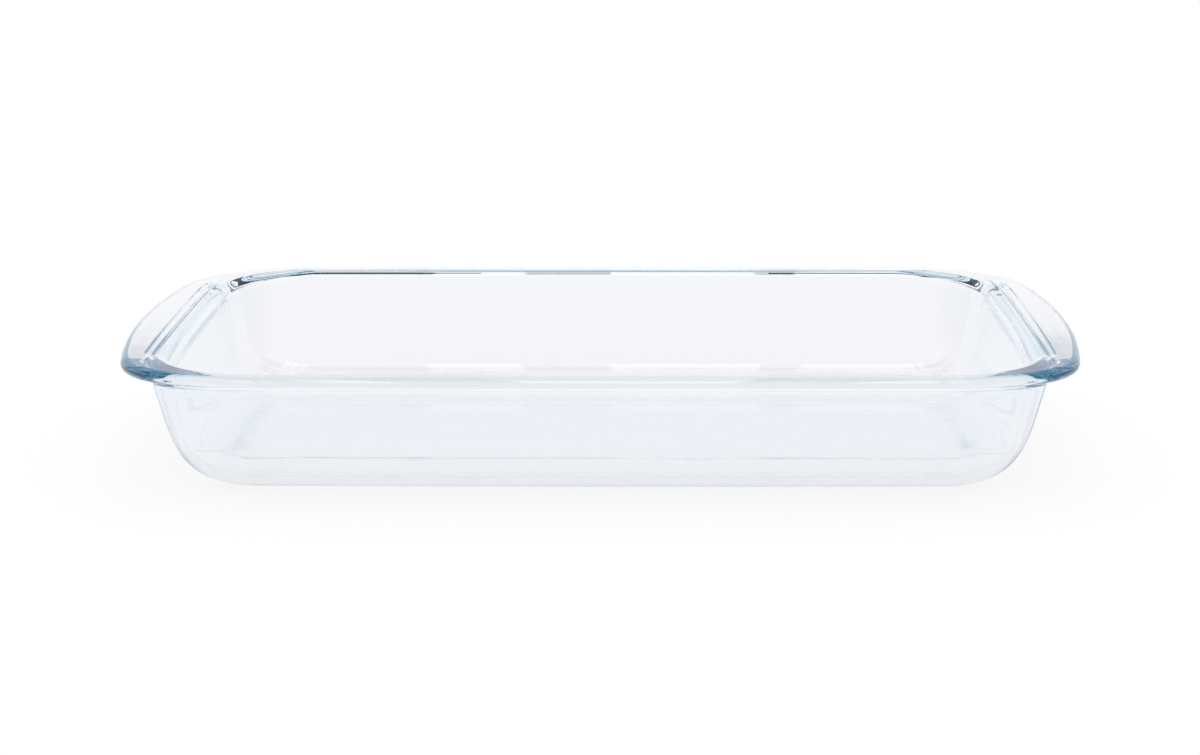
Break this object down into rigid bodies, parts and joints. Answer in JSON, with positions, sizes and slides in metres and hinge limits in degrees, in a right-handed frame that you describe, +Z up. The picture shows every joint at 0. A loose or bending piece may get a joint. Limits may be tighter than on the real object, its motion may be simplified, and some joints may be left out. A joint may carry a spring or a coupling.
{
  "type": "rectangular glass oven dish",
  "caption": "Open rectangular oven dish pressed in one piece of clear glass, with a wide stepped handle at each end.",
  "frame": {"origin": "centre of the flat underside that the dish stands on", "axes": "+X along the length, through both handles; +Y across the width; +Z up, out of the open basin"},
  "size_m": [0.4, 0.262, 0.052],
  "materials": {
    "glass": "clear fire-polished pressed glass with a very pale blue tint, bluer where it is seen along its edge"
  },
  "bodies": {
    "root": {"glass_dish": "glass"}
  },
  "joints": []
}
